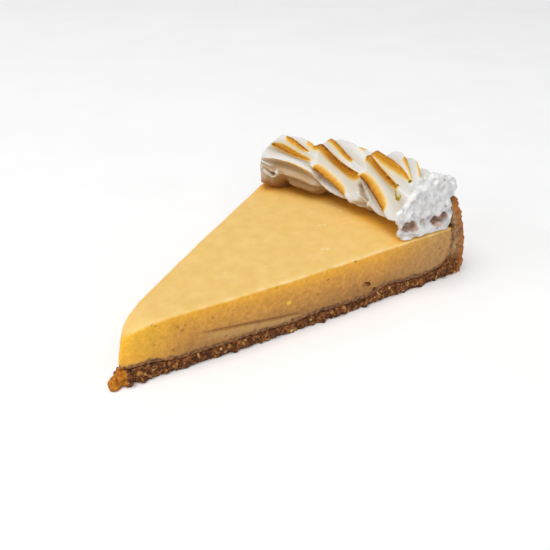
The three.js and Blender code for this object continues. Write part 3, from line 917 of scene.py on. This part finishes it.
# The strand's middle: along the rope from its end, n and h.
STRAND = [(-1.6, 11.4, 12), (-0.2, 12.9, 9.5), (0.3, 13.4, 6.2), (0.2, 13.2, 3.2), (0.1, 13.0, 0.2)]
# Hollows in the +X cut: n and h, half width, half height and depth.
HOLLOWS = [
    (7.8, 5.0, 2.7, 2.2, 4.0),
    (-5.0, 4.4, 3.6, 2.2, 3.4),
    (-7.4, 5.7, 1.5, 1.4, 3.6),
    (-1.6, 6.6, 2.4, 1.2, 1.3),
    (2.4, 6.2, 2.2, 1.3, 1.4),
    (6.4, 1.7, 2.6, 1.2, 1.2),
    (6.6, 15.6, 1.0, 1.8, 0.9),
    (-6.2, 17.4, 1.5, 0.9, 1.0),
    (9.2, 2.0, 1.3, 0.8, 1.3),
    (5.6, 1.6, 1.0, 0.7, 1.3),
]
TORN_RELIEF = {-1: 0.4, 1: 0.7}  # the roughness that the knife left in each cut
KNIFE_N = 22  # the knife reaches this far to both sides
KNIFE_H = (-2, 34)
KNIFE_OUT = 30
FOAM_TRIES = 260  # how many foam lumps are drawn, of which those on a rim or in a hollow are dropped
FOAM_N = (-11, 14)
FOAM_H = (1, 23)
FOAM_RADII = (0.6, 1.6)


def torn_outline(share):
    """Points of the torn end's outline at shares of the way round it."""
    points = [TORN_OUTLINE[-1], *TORN_OUTLINE, *TORN_OUTLINE[:2]]
    return smooth_path(points, (1 + share * len(TORN_OUTLINE)) / (len(points) - 1))


def within_outline(n, h):
    """How far places on the +X cut lie inside the torn end's outline, below 0 outside it."""
    ring = torn_outline(np.linspace(0, 1, 160, endpoint=False))
    ahead = np.roll(ring, -1, axis=0) - ring
    apart = np.stack([n, h], -1)[:, None] - ring
    share = np.clip((apart * ahead).sum(-1) / (ahead**2).sum(-1), 0, 1)
    distance = np.linalg.norm(apart - share[..., None] * ahead, axis=-1).min(1)
    crossing = (ring[:, 1] > h[:, None]) != (ring[:, 1] + ahead[:, 1] > h[:, None])
    steep = np.where(np.abs(ahead[:, 1]) < 1e-9, 1e-9, ahead[:, 1])
    to_the_left = apart[..., 0] < ahead[:, 0] * apart[..., 1] / steep
    inside = (crossing & to_the_left).sum(1) % 2 == 1
    return np.where(inside, distance, -distance)


def rim_inset(inner):
    """How far places of the torn end are set back, by how far inside its outline they lie."""
    return RIM_ROUNDING * smoothstep(4.5, -0.5, inner) ** 2


def lump_place(t, turn):
    """The points of the lump that the torn end is cut from."""
    p = ball_points(t, turn)
    ring = np.sin(np.pi * t) * (1 + layered(p, (0.04, 0.5, 0), (0.03, 0.2, 3)))
    outline = torn_outline(turn / (2 * np.pi) % 1)
    out = p[:, 0] * np.where(p[:, 0] > 0, LUMP_OUT, LUMP_IN)
    middle = TORN_MIDDLE + np.outer(np.maximum(0, -out), LUMP_LEAN)
    n, h = (middle + ring[:, None] * (outline - TORN_MIDDLE)).T
    return beside_rope(ROPE_END + LUMP_SHIFT + out, n, h)


def strand():
    """The strand that runs down at the front of the torn end."""

    def place(t, turn):
        s, n, h = smooth_path(STRAND, t).T
        width = (1.7 + 0.3 * np.sin(7 * t + 2)) * np.sin(np.pi * np.clip(t, 0.01, 0.99)) ** 0.3
        return beside_rope(ROPE_END + s + width * np.cos(turn), n + width * np.sin(turn), h)

    return bent_ball("strand", 24, 20, place)


def hollow_depth(n, h):
    """How deep the hollows are at places on the +X cut."""
    total = np.zeros(np.shape(n))
    for hollow_n, hollow_h, half_width, half_height, depth in HOLLOWS:
        q = ((n - hollow_n) / half_width) ** 2 + ((h - hollow_h) / half_height) ** 2
        total = np.maximum(total, depth * np.exp(-(q**2)))
    return total


def knife(side):
    """A block outside a cut whose near face holds the roughness that the knife leaves."""

    def place(away, across, up):
        n = lerp(-KNIFE_N, KNIFE_N, across)
        h = lerp(*KNIFE_H, up)
        flat = np.stack([n, h, np.full(len(n), 10.0 * side)], -1)
        inset = TORN_RELIEF[side] * (0.5 + 1.5 * pattern(flat, (3.5, 6, 1), 1))
        if side > 0:
            inset += hollow_depth(n, h) + rim_inset(within_outline(n, h))
        else:  # the left end is domed, most of all at its top
            inset += 0.015 * ((n - 1) ** 2 + np.maximum(0, h - 9) ** 2) + 0.08 * np.maximum(0, h - 12) ** 2
        outward = np.where(away == 1, KNIFE_OUT, bow_at(side, ROPE_R) - inset)
        return on_cut(side, ROPE_R - n, FILLING_TOP + h, outward)

    return bent_block("knife", even(2), even(130), even(110), place)


def foam_ball(centre, radius):
    """A lumpy ball, a little taller than it is wide."""

    def place(t, turn):
        p = ball_points(t, turn)
        return centre + radius * p * [1, 1, 1.25] * (1 + 0.3 * pattern(p + centre, 0.8))[:, None]

    return bent_ball("foam", 12, 16, place)


def foam():
    """The small lumps of the torn end, where it is neither rim nor hollow."""
    random = np.random.default_rng(5)
    balls = []
    for _ in range(FOAM_TRIES):
        n = random.uniform(*FOAM_N)
        h = random.uniform(*FOAM_H)
        inner = within_outline(np.array([n]), np.array([h]))[0]
        if inner >= LEAST_INNER and hollow_depth(n, h) <= MOST_HOLLOW:
            radius = random.uniform(*FOAM_RADII)
            out = bow_at(1, ROPE_R) - 0.5 - radius * random.uniform(0.5, 0.85) - rim_inset(inner)
            balls.append(foam_ball(on_cut(1, ROPE_R - n, FILLING_TOP + h, out), radius))
    return balls


def bed():
    """The room of the filling under the rope, with the gap above it."""

    def place(u, v, w):
        return np.stack([lerp(-70, 70, u), lerp(0, 90, v), lerp(FILLING_TOP - 20, FILLING_TOP + GAP, w)], -1)

    return bent_block("bed", even(2), even(2), even(2), place)


# ---- Meringue ----

MERINGUE_VOXEL = 0.3
PIT_DEPTH = 0.7  # of the pits in the torn meringue
WHITE_RELIEF = 0.12  # of the smooth meringue
# Curls in the rope's front, where a lobe's tail folds over: paths as s and h, then how far the
# surface rises along them, their half width, and how much painted shade falls in the fold, below 0
# on rims, where the painted shade is taken off so that they stay white.
CURLS = [
    ([(-37.6, 11.3), (-35.5, 10.7), (-33.7, 10.2), (-29.6, 9.7), (-25.8, 9.4)], -0.7, 0.5, 0.5),
    ([(-36, 9.4), (-33.6, 8.6), (-31.4, 7.9)], -1.4, 0.7, 0.8),
    (
        [(-36.6, 9.6), (-35, 8.6), (-33.6, 7.8), (-31.6, 6.8), (-30, 7.2), (-28.6, 8.8), (-29.6, 9.6)],
        0.9, 0.5, -1,
    ),
    ([(11.2, 12.3), (13.2, 10.4), (15.4, 9.2), (17, 8.6)], -1.7, 0.8, 1),
    ([(6.6, 7.4), (10.2, 5.5), (14.4, 4.8), (17.6, 6.4), (18, 8.8), (15, 11.2), (12.4, 13)], 0.9, 0.7, -1),
    ([(-8.4, 10.8), (-5, 10.4), (-1, 9.6)], -0.5, 1.6, 0.7),
]
# Where the rope's foot is pinched in between the bellies: s, radius and depth.
PINCHES = [(-26.8, 2.6, 4.5), (-7.2, 3.4, 2.6), (18.5, 2.4, 1.6)]
# Specks the torch left at the torn end: s, n and h, radius and darkness.
SPECKS = [
    (30.4, 9.3, 16.2, 0.8, 0.4),
    (30.7, 9.4, 15.0, 0.8, 0.5),
    (31.6, 9.6, 14.1, 0.8, 0.6),
    (32.8, 9.8, 14.3, 0.8, 0.6),
    (33.6, 9.8, 15.6, 0.8, 0.4),
    (30.2, 8.5, 18.4, 0.6, 1.0),
    (33.2, 5.3, 20.2, 0.7, 0.8),
    (39.6, 2.1, 21.8, 0.55, 1.6),
    (40.0, 0.6, 23.2, 0.5, 0.5),
    (39.6, 11.0, 1.7, 0.4, 1.2),
    (39.0, 12.4, 0.3, 0.4, 1.2),
]


def curl_relief(s, h, facing):
    """How far the curls lift the surface, how much painted shade each place gets in a fold, and how far a
    rim takes the painted shade off.
    """
    height = np.zeros(len(s))
    groove = np.zeros(len(s))
    rim = np.zeros(len(s))
    here = np.stack([s, h], -1)
    for path, rise, width, dark in CURLS:
        steps = smooth_path(path, even(40))
        near = (np.abs(s - steps[:, 0].mean()) < 12) & (facing > 0)
        distance = np.full(len(s), 99.0)
        distance[near] = np.linalg.norm(here[near][:, None] - steps, axis=2).min(1)
        share = facing * bell(distance, 0, width)
        height += rise * share
        groove = np.maximum(groove, share * dark)
        rim = np.maximum(rim, -share * dark)
    return height, groove, rim


def rope_body(places):
    """The rope with its torn end, cut on both sides."""
    lobes = [bent_ball("lobe", 90, 288, place) for place in places]
    bellies = [belly(*shape) for shape in BELLIES]
    lump = bent_ball("lump", 60, 90, lump_place)
    piece = remesh(join(lobes + bellies + [rope_core(), lump, strand()]), MERINGUE_VOXEL)
    piece = cut_away(piece, [knife(-1), knife(1)])
    piece = keep_largest(remesh(join([piece] + foam()), MERINGUE_VOXEL))
    piece.name = "piped_meringue"
    return soften(piece, 2)


def meringue():
    places = {number: lobe_place(number) for number in LOBE_SIZES}
    piece = rope_body(places.values())
    points, normals = surface_of(piece)
    at = rope_places(points)
    s, n, h = at.T

    # Each point takes its ridge from the nearest place on a lobe, and is torn where the lump or a
    # cut is nearer.
    t, turn = ball_grid(120, 576)
    angle = turn + math.pi / 2
    near, lobe_distance = nearest(np.concatenate([place(t, turn) for place in places.values()]), points)
    toast = np.concatenate([browning(number, t, angle) for number in places])
    toast = blurred(piece, toast[near], 5)
    valley = np.concatenate([ridged(number, t, angle)[0] * smoothstep(0.1, 0.3, t) for number in places])
    _, lump_distance = nearest(lump_place(*ball_grid(60, 120)), points)
    ragged = layered(points, (1.3, 3.2, 9), (0.7, 1.3, 10))
    torn = smoothstep(-0.6, 0.5, lobe_distance - lump_distance + ragged) * (s > 20)
    torn = np.maximum(torn, smoothstep(-2.6, -0.9, outside_cut(1, points) + ragged))
    torn = np.maximum(torn, smoothstep(-1.3, -0.4, outside_cut(-1, points) + 0.6 * ragged))

    curled, groove, rim = curl_relief(s, h, smoothstep(0.05, 0.5, -normals[:, 1]) * (n > 4))
    points += normals * curled[:, None]
    away_from_tip = points * [1, 1, 0] - [0, TART_CENTRE_Y, 0]
    away_from_tip /= np.linalg.norm(away_from_tip, axis=1, keepdims=True)
    for pinch_s, radius, depth in PINCHES:
        pinch = bell(s, pinch_s, radius) * smoothstep(9, 2, h) * (n > 0)
        points += away_from_tip * (depth * pinch * smoothstep(-1, 4, n))[:, None]
    streaked = pattern(points, (1.5, 1.5, 3), 14)
    crumbly = 0.12 * streaked + layered(points, (0.5, 4.2, 11), (0.4, 2.1, 15), (0.08, 0.9, 16))
    pit = pits(points, 2.4, 17, radius=0.12, spread=0.2, least=0.5, flat=0.5)
    points += normals * lerp(WHITE_RELIEF * pattern(points, 4, 18), crumbly - PIT_DEPTH * pit, torn)[:, None]
    move_points(piece, points)

    speck = np.zeros(len(points))
    for *middle, radius, darkness in SPECKS:
        away = np.linalg.norm(at - middle, axis=1)
        speck = np.maximum(speck, darkness * smoothstep(radius * 1.5, radius * 0.6, away))
    # The hollows' brown, darker under their roofs, is painted shade in the torn end's pockets
    depth = hollow_depth(n, h)
    hollow = smoothstep(0.5, 2.4, depth) * (outside_cut(1, points) > -depth - 2.5)
    # Painted shade on the rope's front underside, warmed as if by light bounced off the filling; it is taken
    # off on the curls' rims
    front = smoothstep(0.1, 0.6, -normals[:, 1])
    under = smoothstep(0.35, -0.45, normals[:, 2]) * lerp(1, 0.4, smoothstep(-8, 10, s))
    shaded = smoothstep(14.5, 11.5, h) * smoothstep(-4, -14, s)
    low = front * np.maximum(under, shaded) * lerp(0.6, 1, smoothstep(-37, -29, s))
    mottled = 0.3 * streaked + layered(points, (0.3, 1.1, 24), (0.35, 2.4, 21))
    paint(
        piece,
        toast=(1 - torn) * toast,
        torn=torn,
        # the torn foam is darker in its pits: painted shade
        tone=0.55 + mottled - 0.5 * pit,
        speck=np.clip(speck, 0, 1),
        hollow=hollow,
        roof=hollow * smoothstep(0.8, 3, hollow_depth(n, h - 1.5)),
        low=low * (1 - torn) * (1 - rim),
        # painted shade in the curls' folds
        groove=groove * (1 - rim),
        # foot: painted contact shade low on the rope's front, by the filling
        foot=smoothstep(9, 1, h) * front * smoothstep(24, 12, s) * (1 - torn),
        # valley: painted shade in the valleys between the crests
        valley=smoothstep(0.35, 1, valley[near]) * (1 - torn),
    )
    piece = keep_largest(cut_away(piece, [bed(), wall_room()]))
    finished(piece, "meringue", meringue_material())


# ---- Materials: colours are sRGB, from 0 to 255 ----


def linear(colour):
    """An sRGB colour as Blender's nodes take it."""
    shares = [part / 255 for part in colour]
    return (*(((c + 0.055) / 1.055) ** 2.4 if c > 0.04 else c / 12.92 for c in shares), 1)


class Shader:
    """A material's nodes, made by short calls. Sizes are in millimetres. What a node is fed with is
    another node's socket, a number, a colour as a tuple or the name of a painted attribute."""

    def __init__(self, name, roughness, specular):
        self.material = bpy.data.materials.new(name)
        self.material.use_nodes = True
        self.nodes = self.material.node_tree.nodes
        self.surface = next(node for node in self.nodes if node.type == "BSDF_PRINCIPLED")
        self.feed(self.surface, {"Roughness": roughness, "Specular IOR Level": specular})
        self.place = self.nodes.new("ShaderNodeTexCoord").outputs["Object"]

    def feed(self, node, inputs):
        for name, value in inputs.items():
            if isinstance(value, str):
                attribute = self.nodes.new("ShaderNodeAttribute")
                attribute.attribute_name = value
                value = attribute.outputs["Fac"]
            if isinstance(value, bpy.types.NodeSocket):
                self.material.node_tree.links.new(value, node.inputs[name])
            else:
                node.inputs[name].default_value = linear(value) if isinstance(value, tuple) else value

    def node(self, kind, inputs):
        node = self.nodes.new("ShaderNode" + kind)
        self.feed(node, inputs)
        return node

    def noise(self, size, detail=3, roughness=0.55):
        inputs = {"Vector": self.place, "Scale": 1 / (size * MM), "Detail": detail, "Roughness": roughness}
        return self.node("TexNoise", inputs).outputs["Fac"]

    def cells(self, size):
        return self.node("TexVoronoi", {"Vector": self.place, "Scale": 1 / (size * MM)}).outputs["Distance"]

    def math(self, operation, a, b):
        node = self.node("Math", {0: a, 1: b})
        node.operation = operation
        return node.outputs[0]

    def between(self, value, low, high):
        """value, mapped to run smoothly from 0 at low to 1 at high."""
        node = self.node("MapRange", {"Value": value, "From Min": low, "From Max": high})
        node.interpolation_type = "SMOOTHSTEP"
        return node.outputs["Result"]

    def mix(self, share, a, b, blend="MIX"):
        node = self.nodes.new("ShaderNodeMix")
        node.data_type = "RGBA"
        node.blend_type = blend
        self.feed(node, {0: share, 6: a, 7: b})
        return node.outputs[2]

    def tint(self, colour, name, most, other, blend="MIX"):
        """Mixes in another colour by an attribute, at most to the given share."""
        return self.mix(self.math("MULTIPLY", name, most), colour, other, blend)

    def ramp(self, value, *stops):
        """A colour that runs through stops of place and colour as value rises."""
        node = self.node("ValToRGB", {"Fac": value})
        elements = node.color_ramp.elements
        for element, (place, colour) in zip(elements[:], stops):
            element.position = place
            element.color = linear(colour)
        for place, colour in stops[2:]:
            elements.new(place).color = linear(colour)
        return node.outputs["Color"]

    def bump(self, height, depth, under=None):
        """Relief whose height of 1 stands for a depth, over other relief if there is any under it."""
        node = self.node("Bump", {"Distance": depth * MM, "Height": height})
        if under is not None:
            self.feed(node, {"Normal": under})
        return node.outputs["Normal"]

    def subsurface(self, weight, radius, scale):
        self.surface.inputs["Subsurface Radius"].default_value = radius
        self.feed(self.surface, {"Subsurface Weight": weight, "Subsurface Scale": scale * MM})

    def finish(self, colour, normal):
        self.feed(self.surface, {"Base Color": colour, "Normal": normal})
        return self.material


def crust_material():
    shader = Shader("crumb_crust", roughness=0.82, specular=0.25)
    colour = shader.ramp(
        shader.noise(1.1, 4, 0.65),
        (0.3, (40, 18, 6)), (0.42, (88, 48, 20)), (0.54, (138, 86, 44)), (0.66, (182, 124, 70)),
        (0.8, (226, 178, 118)),
    )
    crumb = shader.ramp(
        "crumb",
        (0.0, (48, 22, 8)), (0.3, (92, 50, 20)), (0.5, (146, 92, 42)), (0.75, (200, 142, 66)),
        (1.0, (250, 206, 136)),
    )
    on_crumb = shader.between("crumb", 0.02, 0.12)
    colour = shader.mix(shader.math("MULTIPLY", on_crumb, 0.75), colour, crumb)
    tan = shader.ramp(shader.noise(1.2, 4), (0.3, (150, 108, 68)), (0.7, (214, 176, 126)))
    colour = shader.mix("baked", colour, tan)
    orange = shader.ramp(shader.noise(2.2, 4), (0.3, (150, 84, 34)), (0.7, (206, 132, 66)))
    colour = shader.tint(colour, "outside", 0.9, orange)
    golden = shader.ramp(shader.noise(1.1), (0.3, (150, 78, 14)), (0.7, (226, 150, 44)))
    colour = shader.mix("tip", colour, golden)
    # painted shade in the crust's crevices
    colour = shader.tint(colour, "crevice", 0.65, (44, 20, 8))
    normal = shader.bump(shader.noise(0.35), 0.12, under=shader.bump(shader.cells(0.8), 0.25))
    return shader.finish(colour, normal)


def filling_material():
    shader = Shader("lemon_custard", roughness=0.5, specular=0.4)
    top = shader.ramp(shader.noise(5, 4), (0.3, (234, 192, 108)), (0.7, (241, 203, 125)))
    uneven = shader.math("MULTIPLY", shader.math("SUBTRACT", shader.noise(4), 0.5), 0.35)
    depth = shader.math("ADD", "depth", uneven)
    # Painted light on the cut faces: glowing yellow near the top, where light scatters through the custard,
    # and painted shade darker lower down
    cut = shader.ramp(
        depth,
        (0.0, (255, 192, 30)), (0.14, (250, 180, 34)), (0.32, (226, 158, 46)), (0.55, (204, 140, 56)),
        (0.78, (164, 110, 54)), (1.0, (124, 82, 46)),
    )
    # painted glow by the pointed end, where light scatters through the thin custard
    by_tip = shader.ramp(depth, (0.0, (255, 202, 30)), (0.6, (255, 192, 34)), (1.0, (246, 178, 52)))
    cut = shader.mix("tip", cut, by_tip)
    grain = shader.ramp(shader.noise(1.5, 5, 0.7), (0.34, (160, 94, 26)), (0.66, (255, 200, 88)))
    cut = shader.mix(0.3, cut, grain)
    streak = shader.ramp("streak", (0.2, (184, 130, 56)), (0.8, (246, 192, 84)))
    cut = shader.mix(0.08, cut, streak)
    cut = shader.tint(cut, "pale", 0.5, (204, 166, 104))
    # painted shade in the pores and in the knife's crease
    cut = shader.tint(cut, "pit", 0.85, (122, 70, 24))
    stained = shader.ramp(shader.noise(1.3, 4), (0.32, (164, 118, 64)), (0.68, (202, 158, 98)))
    cut = shader.tint(cut, "stain", 0.6, stained)
    # weeping stain and painted glow in the rope's shade
    top = shader.tint(top, "wept", 0.75, (246, 176, 44))
    colour = shader.mix("cut", top, cut)
    # painted highlight along the cut faces' top edge
    colour = shader.tint(colour, "edge", 0.6, (255, 232, 184))
    colour = shader.tint(colour, "speck", 0.4, (255, 238, 196))
    colour = shader.tint(colour, "zest", 0.8, (252, 216, 66))
    crumbs = shader.ramp(shader.noise(1.2, 4, 0.65), (0.34, (44, 20, 8)), (0.66, (180, 122, 68)))
    colour = shader.mix("crumbed", colour, crumbs)
    shader.subsurface(0.3, (1.0, 0.55, 0.2), 3.0)
    return shader.finish(colour, shader.bump(shader.noise(0.5, 4), 0.05))


def meringue_material():
    shader = Shader("toasted_meringue", roughness=0.6, specular=0.15)
    blotch = shader.math("ADD", shader.noise(1.3, 4), 0.5)
    colour = shader.ramp(
        shader.math("MULTIPLY", "toast", blotch),
        (0.0, (223, 222, 219)), (0.1, (234, 222, 184)), (0.26, (230, 188, 100)),
        (0.45, (212, 150, 38)), (0.66, (186, 120, 20)), (0.92, (108, 60, 10)),
    )
    # painted warm shade on the rope's front underside
    colour = shader.tint(colour, "low", 0.8, (200, 154, 80), "MULTIPLY")
    # painted shade in the curls' folds
    colour = shader.tint(colour, "groove", 0.8, (196, 160, 104), "MULTIPLY")
    # painted shade in the valleys between the crests
    colour = shader.tint(colour, "valley", 0.55, (226, 214, 190), "MULTIPLY")
    # painted contact shade low on the rope's front
    colour = shader.tint(colour, "foot", 0.8, (190, 138, 66), "MULTIPLY")
    foam = shader.ramp("tone", (0.1, (194, 193, 193)), (0.75, (238, 238, 238)))
    colour = shader.mix("torn", colour, foam)
    # painted shade in the torn end's hollows, darkest under their roofs
    inside = shader.ramp(shader.noise(2.0), (0.35, (160, 112, 76)), (0.65, (232, 192, 164)))
    inside = shader.tint(inside, "roof", 0.7, (96, 62, 36))
    colour = shader.tint(colour, "hollow", 0.75, inside)
    speck = shader.ramp("speck", (0.3, (214, 190, 90)), (0.6, (150, 126, 30)), (1.0, (40, 30, 10)))
    colour = shader.mix(shader.between("speck", 0.05, 0.4), colour, speck)
    shader.subsurface(0.4, (1.0, 0.85, 0.7), 1.2)
    return shader.finish(colour, shader.bump(shader.noise(0.9, 4), 0.04))


# ---- Stage, in metres ----

CAMERA_PLACE = (0.1664, -0.1842, 0.1581)
CAMERA_AZIMUTH = math.radians(41.19)
CAMERA_ELEVATION = math.radians(30.96)
FOCAL_SHARE = 800 / 550  # focal length as a share of the picture's width
SENSOR = 36
FLOOR_REACH = 3
FLOOR_DROP = 0.0001  # keeps the floor clear of the crust's underside
WORLD_STRENGTH = 0.33
# Each light's place, diameter and power: they all point at the slice.
LIGHTS = {
    "overhead": ((0.08, -0.56, 1.8), 1.6, 26.4),
    "front": ((-0.8, -1.4, 0.84), 1.0, 4.4),
    "right": ((1.2, -0.8, 1.0), 1.0, 2.8),
}


def make_camera():
    data = bpy.data.cameras.new("camera")
    data.sensor_width = SENSOR
    data.lens = SENSOR * FOCAL_SHARE
    piece = bpy.data.objects.new("camera", data)
    piece.location = CAMERA_PLACE
    piece.rotation_euler = (math.pi / 2 - CAMERA_ELEVATION, 0, CAMERA_AZIMUTH)
    bpy.context.scene.collection.objects.link(piece)
    bpy.context.scene.camera = piece


def make_floor():
    low, high = -FLOOR_REACH, FLOOR_REACH
    corners = [(low, low, 0), (high, low, 0), (high, high, 0), (low, high, 0)]
    piece = new_piece("floor", corners, [(0, 1, 2, 3)])
    piece.location.z = -FLOOR_DROP
    shader = Shader("floor", roughness=0.9, specular=0.1)
    tone = shader.ramp(shader.noise(40, 2), (0.3, (250, 250, 250)), (0.7, (253, 253, 253)))
    piece.data.materials.append(shader.finish(tone, shader.bump(shader.noise(1.0, 2), 0.01)))


def make_lights():
    world = bpy.data.worlds.new("world")
    world.use_nodes = True
    background = world.node_tree.nodes["Background"]
    background.inputs["Color"].default_value = (1, 1, 1, 1)
    background.inputs["Strength"].default_value = WORLD_STRENGTH
    bpy.context.scene.world = world
    bpy.context.scene.view_settings.view_transform = "Standard"
    for name, (place, diameter, power) in LIGHTS.items():
        data = bpy.data.lights.new(name, "AREA")
        data.shape = "DISK"
        data.size = diameter
        data.energy = power
        piece = bpy.data.objects.new(name, data)
        piece.location = place
        piece.rotation_euler = (-Vector(place)).to_track_quat("-Z", "Y").to_euler()
        bpy.context.scene.collection.objects.link(piece)


make_camera()
make_floor()
make_lights()
crust()
filling()
meringue()
